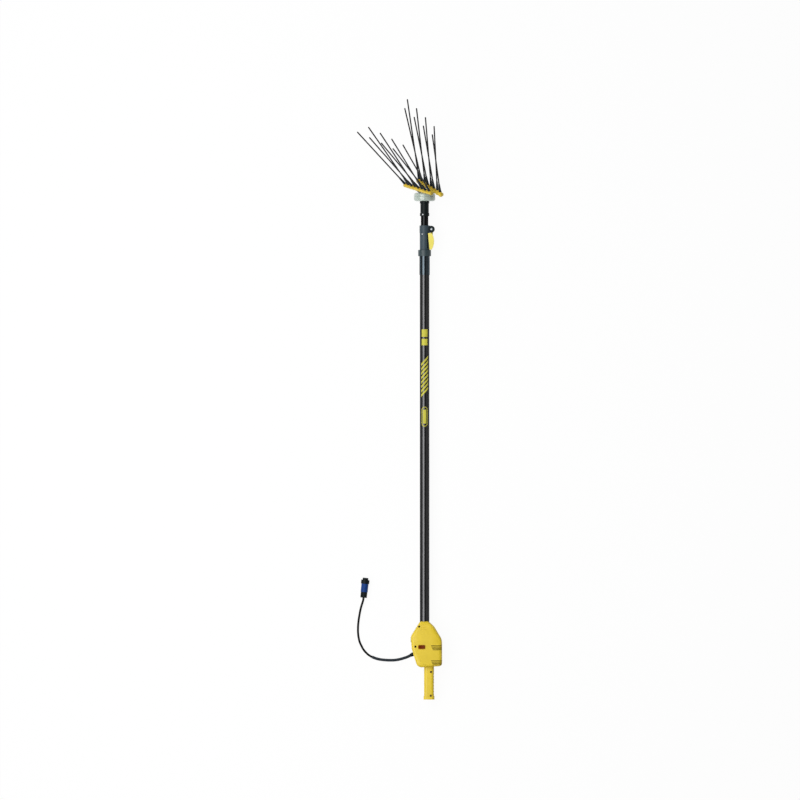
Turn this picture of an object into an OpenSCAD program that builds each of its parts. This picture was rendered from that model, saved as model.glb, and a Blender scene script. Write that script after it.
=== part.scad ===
// Electric olive harvester: a telescopic pole with a motor housing at the foot
// and two rocking combs at the head, laid on its back beside its supply lead.
// Every piece is drawn with the pole upright on the z axis, z = 0 at the mouth of
// the housing and the front towards -y. laid() then puts the tool on the floor.

/* [Power unit] */
// Length of the housing without its handle
housing_length = 168; // [150:1:190]
// Reach of the housing to the left of the pole axis
left_reach = 51; // [46:0.5:60]
// Reach of the housing to the right of the pole axis
right_reach = 64.5; // [62:0.5:72]
// Height of the pole axis above the floor, half the depth of the housing
rest_height = 40; // [38:0.5:46]
// Wall of the moulded shells
shell_wall = 3; // [2:0.25:4]
// Rounding of the shell's edges
edge_round = 10; // [6:0.5:11]
// Width of the neck that holds the pole
neck_width = 44; // [42:0.5:50]
// Depth of the neck
neck_depth = 50; // [46:1:60]
// Length of pole held in the neck
neck_seat = 40; // [30:1:44]
// Thickness of the seal between the shells
gasket_thickness = 1.2; // [0.8:0.1:2]

/* [Handle] */
// Width of the handle
handle_width = 37; // [32:0.5:42]
// Depth of the handle
handle_depth = 34; // [30:0.5:40]
// Length of the handle below the housing
handle_length = 120; // [100:1:150]
// Handle axis to the right of the pole axis
handle_offset = 16.5; // [10:0.5:22]
// Corner rounding of the handle
handle_round = 11; // [6:0.5:13]
// Width of the flared end of the handle
pommel_width = 40.5; // [37:0.5:46]
// Length of the flared end
pommel_length = 12; // [8:1:20]

/* [Switch] */
// Width of the rocker
rocker_width = 21.5; // [18:0.5:26]
// Height of the rocker
rocker_height = 10.5; // [8:0.5:14]
// Play between the rocker and its frame
rocker_play = 0.6; // [0.5:0.05:0.8]

/* [Pole] */
// Outside diameter of the fixed tube
outer_tube_d = 35; // [33:0.5:38]
// Outside diameter of the sliding tube
inner_tube_d = 27.5; // [25:0.5:28.5]
// Wall of both tubes
tube_wall = 1.5; // [1:0.1:2]
// Length of the fixed tube above the housing
pole_length = 1384; // [900:1:1800]
// Length of the sliding tube held inside the fixed one
overlap_length = 984; // [600:1:990]
// Sliding tube to be seen between the clamp and the head
inner_show = 35; // [20:1:80]
// Sliding clearance of the guides
slide_clearance = 0.1; // [0.05:0.01:0.1]

/* [Clamp] */
// Length of the clamp body
clamp_length = 91; // [80:1:110]
// Wall of the clamp body round the sliding tube
clamp_wall = 4.2; // [3.5:0.1:6]
// Diameter of the collar under the clamp
collar_d = 48; // [44:0.5:54]
// Length of the collar
collar_length = 23; // [15:1:30]
// Length of the bright sleeve under the collar
sleeve_length = 70; // [40:1:100]
// Wall of the bright sleeve
sleeve_wall = 1.5; // [1:0.1:3]
// Radius of the hinge ears
ear_radius = 12.8; // [11:0.1:14]
// Diameter of the hinge pin
clamp_pin_d = 6; // [4:0.5:8]

/* [Head] */
// Diameter of the disc-shaped gearbox
gearbox_d = 80; // [78:0.5:80]
// Height of the gearbox bowl
bowl_height = 18; // [16:0.5:24]
// Height of the gearbox cover
cover_height = 14; // [12:0.5:20]
// Wall of the gearbox
gearbox_wall = 4; // [3:0.25:5]
// Length of the socket under the gearbox
socket_length = 55; // [45:1:70]
// Diameter of the socket
socket_d = 31.5; // [31:0.5:34]
// Diameter of the posts that carry the combs
post_d = 10; // [8:0.5:12]
// Throw of the crank
crank_throw = 3; // [2:0.25:3.5]

/* [Combs] */
// Mean length of the tines from the axis of their bar
tine_length = 330; // [250:1:380]
// How much shorter each tine is than its neighbour on the left
tine_grade = 9; // [0:0.5:12]
// Diameter of a tine
tine_d = 5; // [4:0.25:6]
// Distance between tines on the bar
tine_pitch = 17; // [15.5:0.25:20]
// Angle between neighbouring tines
tine_fan = 1.2; // [0:0.05:4]
// Angle by which tines lean out of the comb's plane, one to each side in turn
tine_splay = 2.9; // [0:0.1:6]
// Turn of the right comb about the pole
right_turn = -10.5; // [-20:0.5:0]
// Lean of the right comb from the pole
right_lean = 39; // [30:0.5:50]
// Turn of the right comb about its own tines
right_twist = -40.5; // [-60:0.5:-30]
// Turn of the left comb about the pole
left_turn = -30.5; // [-40:0.5:-20]
// Lean of the left comb from the pole
left_lean = 56.5; // [46:0.5:62]
// Turn of the left comb about its own tines
left_twist = -17; // [-34:0.5:-10]

/* [Lead] */
// Diameter of the lead
cable_d = 8; // [6:0.25:9]
// Diameter of the sleeve on the lead
cable_sleeve_d = 10.5; // [9:0.25:11]
// Diameter of the plug's locking ring
plug_ring_d = 31; // [28:0.5:31]

/* [Hidden] */
// Exact curves, and fewer sides inside a hull
$fn = 64;
hull_sides = 28;
// Overrun of every cut
overrun = 2;
// Clearance of a running fit and of a press fit, on the radius
run_fit = 0.06;
press_fit = 0.02;
// Gap between neighbours that move past each other
air_gap = 0.4;

TINES = 8;
SIDES = ["right", "left"];

// Housing outline: corner discs as shares of the reach, the length, the radius and the half depth
left_corner_shares = [[0.51, 0.358, 0.149, 1], [0.559, 0.565, 0.119, 1], [0.206, 0.869, 0.131, 0.97]];
right_corner_shares = [[0.35, 0.175, 0.107, 0.8], [0.383, 0.452, 0.238, 1], [0.825, 0.905, 0.07, 0.95]];
neck_corner = 12;
neck_rise = 3;
edge_floor = 1;

// Shallow steps across the front of the neck
neck_step_count = 3;
neck_step_width = 25;
neck_step_height = 2;
neck_step_pitch = 8;
neck_step_drop = 12;
neck_step_depth = 0.9;

// Finger scallops down the right side of the handle
scallop_count = 7;
scallop_r = 7;
scallop_depth = 1.2;
scallop_first_share = 0.25;
scallop_last_share = 0.8;

// Rest pad: the origin lies on the back of the housing, this far below the mouth
pad_drop = 100;

// Case screws, as shares of the reach or the handle width, and of the housing or handle length
body_screw_shares = [[-0.4, 0.098], [-0.67, 0.54]];
handle_screw_shares = [[0.2, 0.147], [0.18, 0.88]];
screw_boss_r = 5.5;
screw_head_r = 3.6;
screw_shank_r = 2;
screw_seat = 9;
screw_head = 3;
screw_reach = 12;

// Vents: two groups of slots at shares of the housing length, longer towards the top of a group
vent_count = 4;
vent_height = 2.4;
vent_pitch = 5;
vent_drop_shares = [0.512, 0.845];
vent_start = 24;
vent_slant = 2;
vent_wrap = 22;

// Switch places
switch_x = -11;
switch_drop = 92;
switch_flange = 2.2;
switch_round = 5;
switch_proud = 1.6;
switch_deep = 6;
switch_pin_r = 1.2;
switch_pin_length = 1.6;
rocker_thickness = 5;
rocker_crown = 1;

// Motor beside the pole axis, with its pinion under the drive gear
motor_x = 30;
motor_r = 26;
motor_bore_r = 22;
motor_top = -76;
motor_lift = 20;
motor_cap = 4;
armature_r = 18;
motor_shaft_r = 2.5;
fan_r = 20;
fan_height = 6;
fan_blades = 7;
fan_blade = 2;
motor_rib = 3;
motor_rib_shares = [0.083, 0.6];
pressure_angle = 20;
gear_module = 1.5;
pinion_teeth = 16;
drive_teeth = 24;
gear_top = -54;
gear_height = 10;
gear_hub_r = 11;
gear_hub_height = 4;

// Electronics board on two standoffs
board_width = 22;
board_height = 30;
board_thickness = 1.6;
board_x = -30;
board_lift = 32;
board_depth = 14;
standoff_r = 2.6;
standoff_places_shares = [[0.3, 0.25], [0.7, 0.75]];

// Transmission shaft
drive_tube_d = 16;
drive_flats = 8;
drive_play = 0.5;
drive_tube_bottom = -70;
drive_tube_top_gap = 94;
rod_overlap = 810;
bearing_height = 10;
bush_length = 30;

// Clamp lever
lever_thickness = 5.5;
lever_length = 61;
lever_half_width = 16;
lever_cheek = 2.2;
lever_web = 5;
lever_drop = 14.6;
lever_bulge = 60;
ear_reach = 25;
ear_drop = 14;
ear_inner = 6;
ear_outer = 11;
clamp_band = 1;
jaw_slot = 8;
jaw_turn = 43;
jaw_foot = 6;

// Head places
socket_rim = 11;
socket_rim_d = 35;
socket_collar = 8;
tube_seat = 26;
socket_screw_r = 2.5;
socket_screw_head = 2;
socket_screw_x = -7;
journal_r = 6;
crank_web_r = 12;
crank_web = 3;
crank_pin_r = 3;
post_x = 19;
sector_module = 2;
sector_teeth = 19;
sector_height = 6;
sector_half_angle = 62;
fork_height = 6;
fork_wall = 4;
fork_reach = 26;
gearbox_floor = 3;
gearbox_roof = 4;
gearbox_puff = 9;
gearbox_skirt = 5;
seam_height = 1.6;
seam_depth = 1;
cover_screw_count = 4;
cover_screw_r = 2;
cover_screw_place = 30;
cover_screw_turn = 45;
cover_screw_head = 2;
cover_screw_sink = 2;

// Combs: bar places over the gearbox, and bar and boot sizes
right_bar_x = 19.5;
right_bar_y = -20;
right_bar_rise = 17.5;
left_bar_x = -23.5;
left_bar_y = -40;
left_bar_rise = 12.5;
bar_width = 15;
bar_height = 13;
bar_end = 9;
bar_round = 4;
tine_socket_r = 6;
tine_socket_height = 13;
tine_seat = 2;
boot_foot_r = 5;
boot_top_r = 3.2;
boot_length = 36;
arm_hub_r = 9;
arm_hub_height = 9;
arm_pad_r = 6;
arm_pad_height = 3;

// Lead: hand-laid route on the floor from the gland to the plug, in floor coordinates
cable_route = [
    [-52.6, -24.3, 40], [-62, -29, 40], [-76, -34, 39.8], [-91, -38.5, 36], [-110, -42, 27],
    [-129, -43, 16.5], [-146, -42.5, 9.5], [-162, -41, 6], [-180, -37, 5.3], [-196, -31, 5.3],
    [-208, -24, 4.8], [-218, -15, 4.2], [-228, -3, 4], [-235, 10, 4], [-241, 23, 4], [-245, 38, 4],
    [-247.5, 56, 4], [-248, 74, 4], [-247, 92, 4], [-245, 110, 4.4], [-242, 128, 6], [-238.5, 146, 9],
    [-234.5, 161, 12.6], [-231, 172, 15], [-228.3, 181, 15.5], [-227.3, 190, 15.5]
];
sleeve_end = 9;
cable_sides = 10;
gland_r = 6.5;
gland_nut_r = 7.6;
gland_length = 12;
gland_tip = 6;
gland_nut = 4;
gland_lip = 1;

// Plug on the end of the lead
plug_tilt = 6.1;
plug_nut_r = 12.3;
plug_nut_length = 21;
plug_nut_flutes = 10;
plug_flute_r = 1.6;
plug_shell_r = 13.2;
plug_shell_length = 31;
plug_spigot_r = 9;
plug_ring_length = 14;
plug_nose_r = 10.5;
plug_nose_length = 8;
plug_contact_r = 1.5;
plug_contact_place = 4.5;
plug_contacts = 3;

// Heights along the pole
half_gasket = gasket_thickness / 2;
handle_bottom = -housing_length - handle_length;
motor_bottom = -housing_length + motor_lift;
motor_length = motor_top - motor_bottom;
neck_foot = neck_corner - neck_rise;
outer_tube_r = outer_tube_d / 2;
outer_bore_r = outer_tube_r - tube_wall;
inner_tube_r = inner_tube_d / 2;
inner_bore_r = inner_tube_r - tube_wall;
clamp_top = pole_length + clamp_length;
socket_bottom = clamp_top + inner_show;
inner_tube_top = socket_bottom + tube_seat;
inner_tube_bottom = pole_length - overlap_length;
board_foot = board_lift - housing_length;
gearbox_bottom = socket_bottom + socket_length;
bowl_top = gearbox_bottom + bowl_height;
gearbox_top = bowl_top + cover_height;
gearbox_r = gearbox_d / 2;
gearbox_cave_r = gearbox_r - gearbox_wall - gearbox_skirt / 2;
cave_floor = gearbox_bottom + gearbox_floor;
cave_roof = gearbox_top - gearbox_roof;
fork_bottom = cave_floor + crank_web + 2 * air_gap;
sector_bottom = fork_bottom + fork_height + air_gap;
post_bottom = gearbox_bottom + gearbox_floor / 2;
drive_tube_r = drive_tube_d / 2;
drive_tube_top = pole_length - drive_tube_top_gap;
drive_rod_bottom = drive_tube_top - rod_overlap;
rod_r = drive_flats / sqrt(3);
rod_bore_r = (drive_flats + drive_play) / sqrt(3);
bar_length = (TINES - 1) * tine_pitch + 2 * bar_end;

// Lays the upright tool on its back, origin on the rest pad
module laid() {
    translate([0, pad_drop, rest_height]) rotate([-90, 0, 0]) children();
}

// A tube or a disc along the pole between two heights
module ring(outer_r, inner_r, low, high) {
    difference() {
        translate([0, 0, low]) cylinder(r = outer_r, h = high - low);
        translate([0, 0, low - overrun]) cylinder(r = inner_r, h = high - low + 2 * overrun);
    }
}

module rod(r, low, high) {
    translate([0, 0, low]) cylinder(r = r, h = high - low);
}

// A pin from front to back, at a place seen from the front
module pin_through(x, z, r, front, back) {
    translate([x, back, z]) rotate([90, 0, 0]) cylinder(r = r, h = back - front);
}

// Involute gear outline
function ray(a) = [cos(a), sin(a)];
function involute_angle(a) = tan(a) * 180 / PI - a;
function flank_angle(r, base_r, half) =
    half + involute_angle(pressure_angle) - involute_angle(acos(min(1, base_r / r)));
module gear_outline(teeth, gear_mod, thinning) {
    addendum_share = 0.85;
    dedendum_share = 1.2;
    pitch_r = gear_mod * teeth / 2;
    base_r = pitch_r * cos(pressure_angle);
    tip_r = pitch_r + addendum_share * gear_mod;
    root_r = pitch_r - dedendum_share * gear_mod;
    half = 90 / teeth - thinning / pitch_r * 180 / PI;
    start_r = max(base_r, root_r);
    steps = 4;
    radii = [for (i = [0:steps]) start_r + (tip_r - start_r) * i / steps];
    polygon([for (tooth = [0:teeth - 1]) let (a = tooth * 360 / teeth) each concat(
        [root_r * ray(a - flank_angle(start_r, base_r, half))],
        [for (r = radii) r * ray(a - flank_angle(r, base_r, half))],
        [for (i = [steps:-1:0]) radii[i] * ray(a + flank_angle(radii[i], base_r, half))],
        [root_r * ray(a + flank_angle(start_r, base_r, half))]
    )]);
}
tooth_thinning = 0.16;

// Housing: a hull over rounded discs, one at each corner of the outline
module corner_disc(x, z, r, half_depth) {
    round_r = min(edge_round, r - edge_floor);
    profile = concat([[0, -half_depth]],
        [for (a = [0:30:90]) [r - round_r + round_r * sin(a), -half_depth + round_r - round_r * cos(a)]],
        [for (a = [90:-30:0]) [r - round_r + round_r * sin(a), half_depth - round_r + round_r * cos(a)]],
        [[0, half_depth]]);
    translate([x, 0, z]) rotate([90, 0, 0]) rotate_extrude($fn = hull_sides) polygon(profile);
}

module housing_body(inset) {
    hull() {
        for (s = left_corner_shares)
            corner_disc(-s[0] * left_reach, -s[1] * housing_length, s[2] * housing_length - inset,
                        s[3] * rest_height - inset);
        for (s = right_corner_shares)
            corner_disc(s[0] * right_reach, -s[1] * housing_length, s[2] * housing_length - inset,
                        s[3] * rest_height - inset);
        for (side = [-1, 1])
            corner_disc(side * (neck_width / 2 - neck_corner), -neck_foot, neck_corner - inset,
                        neck_depth / 2 - inset);
    }
}

module handle_section(width, depth, round_r) {
    square([width - 2 * round_r, depth], center = true);
    square([width, depth - 2 * round_r], center = true);
    for (x = [-1, 1], y = [-1, 1])
        translate([x * (width / 2 - round_r), y * (depth / 2 - round_r)]) circle(r = round_r);
}

module handle_body(inset) {
    flare = pommel_width - handle_width;
    translate([handle_offset, 0, handle_bottom + inset])
        linear_extrude(handle_length + neck_corner - inset)
            handle_section(handle_width - 2 * inset, handle_depth - 2 * inset, handle_round - inset);
    if (inset == 0)
        translate([handle_offset, 0, handle_bottom])
            linear_extrude(pommel_length) handle_section(pommel_width, handle_depth + flare, handle_round);
}

function body_screws() = [for (s = body_screw_shares) [s[0] * left_reach, -s[1] * housing_length]];
function handle_screws() = [for (s = handle_screw_shares)
    [handle_offset + s[0] * handle_width, -housing_length - s[1] * handle_length]];
function case_screws() = concat(body_screws(), handle_screws());

// Ribs that hold the motor, and the solid neck round the foot of the pole
module inner_ribs() {
    intersection() {
        housing_body(shell_wall / 2);
        union() {
            for (share = motor_rib_shares)
                translate([motor_x - motor_bore_r, -rest_height, motor_top - share * motor_length])
                    cube([right_reach, 2 * rest_height, motor_rib]);
            translate([-left_reach, -rest_height, -neck_seat])
                cube([left_reach + right_reach, 2 * rest_height, neck_seat]);
            for (s = body_screws()) pin_through(s[0], s[1], screw_boss_r, -rest_height, rest_height);
        }
    }
}

module vent_cuts() {
    for (share = vent_drop_shares, i = [0:vent_count - 1]) {
        z = -share * housing_length - i * vent_pitch - vent_height;
        translate([vent_start + i * vent_slant, -rest_height - overrun, z])
            cube([right_reach, shell_wall + 2 * overrun, vent_height]);
        translate([right_reach - edge_round, -rest_height - overrun, z])
            cube([edge_round + overrun, vent_wrap, vent_height]);
    }
}

module neck_steps() {
    for (k = [0:neck_step_count - 1]) difference() {
        translate([-neck_step_width / 2, -rest_height, -neck_step_drop - k * neck_step_pitch])
            cube([neck_step_width, rest_height, neck_step_height]);
        housing_body(neck_step_depth);
    }
}

module handle_scallops() {
    run = (scallop_last_share - scallop_first_share) * handle_length;
    for (k = [0:scallop_count - 1])
        pin_through(handle_offset + handle_width / 2 + scallop_r - scallop_depth,
                    -housing_length - scallop_first_share * handle_length - k * run / (scallop_count - 1),
                    scallop_r, -handle_depth, handle_depth, $fn = hull_sides);
}

module gland_frame() {
    step = cable_route[1] - cable_route[0];
    translate([cable_route[0][0], 0, cable_route[0][1] - pad_drop])
        rotate([0, atan2(step[0], step[1]), 0])
            children();
}

module case_shell() {
    difference() {
        union() {
            difference() {
                union() {
                    housing_body(0);
                    handle_body(0);
                }
                housing_body(shell_wall);
                handle_body(shell_wall);
            }
            inner_ribs();
        }
        rod(outer_tube_r + press_fit, -neck_seat - overrun, neck_corner);
        translate([motor_x, 0, 0]) rod(motor_r + press_fit, motor_bottom, motor_top);
        gland_frame() rod(gland_r + press_fit, -gland_length - gland_tip, gland_length);
        handle_scallops();
    }
}

module front_half() {
    translate([-2 * left_reach, -2 * rest_height, 2 * handle_bottom])
        cube([4 * right_reach, 2 * rest_height - half_gasket, -4 * handle_bottom]);
}

module back_half() {
    translate([-2 * left_reach, half_gasket, 2 * handle_bottom])
        cube([4 * right_reach, 2 * rest_height, -4 * handle_bottom]);
}

module housing_front() {
    color("gold") laid() difference() {
        intersection() {
            union() {
                case_shell();
                for (s = handle_screws())
                    pin_through(s[0], s[1], screw_boss_r, -handle_depth / 2 + shell_wall / 2, 0);
            }
            front_half();
        }
        for (s = case_screws()) {
            pin_through(s[0], s[1], screw_head_r + air_gap, -rest_height - overrun, -screw_seat);
            pin_through(s[0], s[1], screw_shank_r + run_fit, -rest_height, overrun);
        }
        switch_place() switch_plate(press_fit, overrun, shell_wall + overrun);
        vent_cuts();
        neck_steps();
    }
}

module housing_back() {
    color("gold") laid() difference() {
        intersection() {
            union() {
                case_shell();
                for (s = handle_screws())
                    pin_through(s[0], s[1], screw_boss_r, 0, handle_depth / 2 - shell_wall / 2);
                for (s = standoff_places_shares)
                    pin_through(board_x + s[0] * board_width, board_foot + s[1] * board_height, standoff_r,
                                board_depth + board_thickness, rest_height - shell_wall / 2);
            }
            back_half();
        }
        for (s = case_screws())
            pin_through(s[0], s[1], screw_shank_r + press_fit, -overrun, screw_reach + air_gap);
    }
}

module housing_gasket() {
    color("dimgray") laid() difference() {
        intersection() {
            case_shell();
            translate([-2 * left_reach, -half_gasket, 2 * handle_bottom])
                cube([4 * right_reach, gasket_thickness, -4 * handle_bottom]);
        }
        for (s = case_screws()) pin_through(s[0], s[1], screw_shank_r + run_fit, -overrun, overrun);
    }
}

module housing_screws() {
    color("silver") laid() for (s = case_screws()) {
        pin_through(s[0], s[1], screw_head_r, -screw_seat - screw_head, -screw_seat);
        pin_through(s[0], s[1], screw_shank_r, -screw_seat, screw_reach);
    }
}

// Rocker switch: a frame in the front wall and a rocker on two short pins
module switch_place() {
    translate([switch_x, -rest_height, -switch_drop]) children();
}

switch_edge = rocker_play + switch_flange;

// Rounded plate of the switch, from its front to its back
module switch_plate(grow, front, back) {
    translate([0, back, 0]) rotate([90, 0, 0]) linear_extrude(front + back)
        handle_section(rocker_width + 2 * (switch_edge + grow), rocker_height + 2 * (switch_edge + grow),
                       switch_round + grow);
}

module switch_frame() {
    opening_w = rocker_width + 2 * rocker_play;
    opening_h = rocker_height + 2 * rocker_play;
    color([0.3, 0.1, 0.04]) laid() switch_place() difference() {
        switch_plate(0, switch_proud, switch_deep);
        translate([-opening_w / 2, -switch_proud - overrun, -opening_h / 2])
            cube([opening_w, switch_proud + switch_deep + 2 * overrun, opening_h]);
        rod(switch_pin_r + run_fit, -opening_h / 2 - switch_pin_length - run_fit,
            opening_h / 2 + switch_pin_length + run_fit);
    }
}

module switch_rocker() {
    half = rocker_height / 2;
    color([0.55, 0.06, 0.05]) laid() switch_place() {
        difference() {
            translate([-rocker_width / 2, -rocker_thickness / 2 - switch_proud / 2, -half])
                cube([rocker_width, rocker_thickness, rocker_height]);
            translate([0, -rocker_width * 2 - rocker_thickness / 2 + rocker_crown, -half - overrun])
                cylinder(r = rocker_width * 2 - switch_proud / 2, h = rocker_height + 2 * overrun);
        }
        rod(switch_pin_r, -half - rocker_play - switch_pin_length, half + rocker_play + switch_pin_length);
    }
}

module cable_gland() {
    color([0.07, 0.07, 0.08]) laid() gland_frame() {
        rod(gland_r, -gland_length - gland_tip, -gland_tip);
        rod(gland_nut_r, -gland_tip - gland_nut, -gland_tip);
        translate([0, 0, -gland_tip])
            cylinder(r1 = gland_r, r2 = cable_sleeve_d / 2 + gland_lip, h = gland_tip);
    }
}

// Lead: rings of points swept along the hand-laid route
function route_dir(i) = let (
        a = cable_route[max(0, i - 1)], b = cable_route[min(len(cable_route) - 1, i + 1)], d = b - a
    ) d / norm(d);
function route_side(i) = let (s = cross(route_dir(i), [0, 0, 1])) s / norm(s);
function route_ring(i, r) = let (s = route_side(i), u = cross(s, route_dir(i)))
    [for (k = [0:cable_sides - 1]) let (a = 360 * k / cable_sides)
        cable_route[i] + r * (cos(a) * s + sin(a) * u)];
module swept(first, last, r) {
    rings = last - first + 1;
    n = cable_sides;
    points = [for (i = [first:last]) each route_ring(i, r)];
    sides = [for (i = [0:rings - 2], k = [0:n - 1])
        let (a = i * n + k, b = i * n + (k + 1) % n) each [[a, b, b + n], [a, b + n, a + n]]];
    ends = [[for (k = [n - 1:-1:0]) k], [for (k = [0:n - 1]) (rings - 1) * n + k]];
    polyhedron(points, concat(sides, ends));
}

module cable_sleeve() {
    color("slategray") swept(0, sleeve_end, cable_sleeve_d / 2);
}

module power_cable() {
    color([0.06, 0.06, 0.06]) swept(sleeve_end, len(cable_route) - 1, cable_d / 2);
}

// Plug, along its own axis from the end of the lead
module plug_frame() {
    translate(cable_route[len(cable_route) - 1]) rotate([0, 0, -plug_tilt]) rotate([-90, 0, 0]) children();
}

plug_ring_start = plug_nut_length + plug_shell_length;
plug_nose_start = plug_ring_start + plug_ring_length;

module plug_nut() {
    color([0.08, 0.08, 0.09]) plug_frame() difference() {
        cylinder(r = plug_nut_r, h = plug_nut_length);
        for (k = [0:plug_nut_flutes - 1]) rotate(k * 360 / plug_nut_flutes)
            translate([plug_nut_r, 0, 0]) rod(plug_flute_r, -overrun, plug_nut_length + overrun);
    }
}

module plug_shell() {
    color([0.1, 0.25, 0.6]) plug_frame() {
        rod(plug_shell_r, plug_nut_length, plug_ring_start);
        rod(plug_spigot_r, plug_ring_start, plug_nose_start + air_gap);
    }
}

module plug_ring() {
    color([0.08, 0.08, 0.09]) plug_frame() difference() {
        ring(plug_ring_d / 2, plug_spigot_r + run_fit,
             plug_ring_start + run_fit, plug_nose_start + air_gap - run_fit);
        for (k = [0:plug_nut_flutes - 1]) rotate((k + 0.5) * 360 / plug_nut_flutes)
            translate([plug_ring_d / 2, 0, plug_ring_start - overrun])
                cylinder(r = plug_flute_r, h = plug_ring_length + 2 * overrun);
    }
}

module plug_nose() {
    color([0.08, 0.08, 0.09]) plug_frame() difference() {
        rod(plug_nose_r, plug_nose_start + air_gap, plug_nose_start + plug_nose_length);
        for (k = [0:plug_contacts - 1]) rotate(k * 360 / plug_contacts)
            translate([plug_contact_place, 0, plug_nose_start + plug_nose_length / 2])
                cylinder(r = plug_contact_r, h = plug_nose_length);
    }
}

// Motor and its reduction
module motor_case() {
    color("dimgray") laid() translate([motor_x, 0, 0]) difference() {
        rod(motor_r, motor_bottom, motor_top);
        rod(motor_bore_r, motor_bottom + motor_cap, motor_top - motor_cap);
        rod(motor_shaft_r + run_fit, motor_bottom - overrun, motor_top + overrun);
    }
}

module motor_rotor() {
    color("peru") laid() translate([motor_x, 0, 0]) {
        rod(motor_shaft_r, motor_bottom - fan_height - air_gap, gear_top);
        rod(armature_r, motor_bottom + 2 * motor_cap, motor_top - 2 * motor_cap);
    }
}

module motor_fan() {
    top = motor_bottom - air_gap;
    color("black") laid() translate([motor_x, 0, 0]) {
        ring(2 * motor_shaft_r, motor_shaft_r + press_fit, top - fan_height, top);
        for (k = [0:fan_blades - 1]) rotate(k * 360 / fan_blades)
            translate([2 * motor_shaft_r - press_fit, -fan_blade / 2, top - fan_height])
                cube([fan_r - 2 * motor_shaft_r, fan_blade, fan_height]);
    }
}

module pinion() {
    color("goldenrod") laid() translate([motor_x, 0, gear_top - gear_height]) difference() {
        rotate(180 / pinion_teeth) linear_extrude(gear_height)
            gear_outline(pinion_teeth, gear_module, tooth_thinning);
        translate([0, 0, -overrun]) cylinder(r = motor_shaft_r + press_fit, h = gear_height + 2 * overrun);
    }
}

module drive_gear() {
    color("lightgray") laid() translate([0, 0, gear_top - gear_height]) difference() {
        union() {
            linear_extrude(gear_height) gear_outline(drive_teeth, gear_module, tooth_thinning);
            translate([0, 0, gear_height]) cylinder(r = gear_hub_r, h = gear_hub_height);
        }
        rod(drive_tube_r + press_fit, -overrun, gear_height + gear_hub_height + overrun);
    }
}

module gear_bearing() {
    color("silver") laid()
        ring(outer_bore_r - press_fit, drive_tube_r + run_fit, -neck_seat, -neck_seat + bearing_height);
}

module control_board() {
    color("darkgreen") laid() translate([board_x, board_depth, board_foot])
        cube([board_width, board_thickness, board_height]);
}

// Pole
module outer_tube() {
    color([0.05, 0.05, 0.05]) laid() ring(outer_tube_r, outer_bore_r, -neck_seat, pole_length);
}

module pole_sleeve() {
    top = pole_length - collar_length;
    color([0.2, 0.21, 0.22]) laid()
        ring(outer_tube_r + sleeve_wall, outer_tube_r + press_fit, top - sleeve_length, top);
}

module clamp_collar() {
    color([0.16, 0.17, 0.19]) laid()
        ring(collar_d / 2, outer_tube_r + press_fit, pole_length - collar_length, pole_length);
}

ear_z = clamp_top - ear_drop;
clamp_r = inner_tube_r + clamp_wall;

module clamp_body() {
    color("slategray") laid() difference() {
        union() {
            rod(clamp_r, pole_length, clamp_top);
            rod(clamp_r + clamp_band, clamp_top - 2 * ear_drop, clamp_top);
            for (side = [-1, 1]) {
                front = side < 0 ? -ear_outer : ear_inner;
                pin_through(ear_reach, ear_z, ear_radius, front, front + ear_outer - ear_inner);
                translate([0, front, ear_z - ear_radius])
                    cube([ear_reach, ear_outer - ear_inner, 2 * ear_radius]);
            }
        }
        rod(inner_tube_r + slide_clearance, pole_length - overrun, clamp_top + overrun);
        for (side = [-1, 1]) rotate(side * jaw_turn)
            translate([0, -jaw_slot / 2, pole_length + jaw_foot])
                cube([clamp_r + overrun, jaw_slot, clamp_length - 2 * ear_drop - jaw_foot]);
        pin_through(ear_reach, ear_z, clamp_pin_d / 2 + press_fit, -2 * ear_outer, 2 * ear_outer);
        translate([clamp_r + clamp_band, -ear_inner, ear_z - ear_radius - overrun])
            cube([ear_reach, 2 * ear_inner, 2 * (ear_radius + overrun)]);
    }
}

module clamp_pin() {
    color("silver") laid() pin_through(ear_reach, ear_z, clamp_pin_d / 2, -ear_outer, ear_outer);
}

// Lever: an eye on the pin, and a curved blade with cheeks that hug the clamp body
module clamp_lever() {
    blade_top = ear_z - lever_drop;
    blade_bottom = blade_top - lever_length;
    blade_mid = (blade_top + blade_bottom) / 2;
    bulge_x = ear_reach + ear_radius - lever_thickness / 2 - lever_bulge;
    eye_r = ear_reach - clamp_r - clamp_band - air_gap;
    color("gold") laid() difference() {
        union() {
            pin_through(ear_reach, ear_z, eye_r, -lever_web, lever_web);
            translate([ear_reach - lever_thickness / 2, -lever_web, blade_top - lever_thickness])
                cube([eye_r + lever_thickness / 2, 2 * lever_web, lever_drop + lever_thickness]);
            intersection() {
                difference() {
                    pin_through(bulge_x, blade_mid, lever_bulge, -lever_half_width, lever_half_width);
                    pin_through(bulge_x, blade_mid, lever_bulge - lever_thickness,
                                -lever_half_width + lever_cheek, lever_half_width - lever_cheek);
                }
                translate([0, lever_half_width, 0]) rotate([90, 0, 0]) linear_extrude(2 * lever_half_width)
                    polygon([[clamp_r - lever_thickness, blade_top], [2 * ear_reach, blade_top],
                             [2 * ear_reach, blade_bottom], [clamp_r, blade_bottom]]);
            }
        }
        pin_through(ear_reach, ear_z, clamp_pin_d / 2 + run_fit, -ear_outer, ear_outer);
    }
}

module inner_tube() {
    color([0.08, 0.09, 0.1]) laid() ring(inner_tube_r, inner_bore_r, inner_tube_bottom, inner_tube_top);
}

module guide_bush() {
    color("black") laid() ring(outer_bore_r - slide_clearance, inner_tube_r + press_fit,
                               inner_tube_bottom, inner_tube_bottom + bush_length);
}

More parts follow.
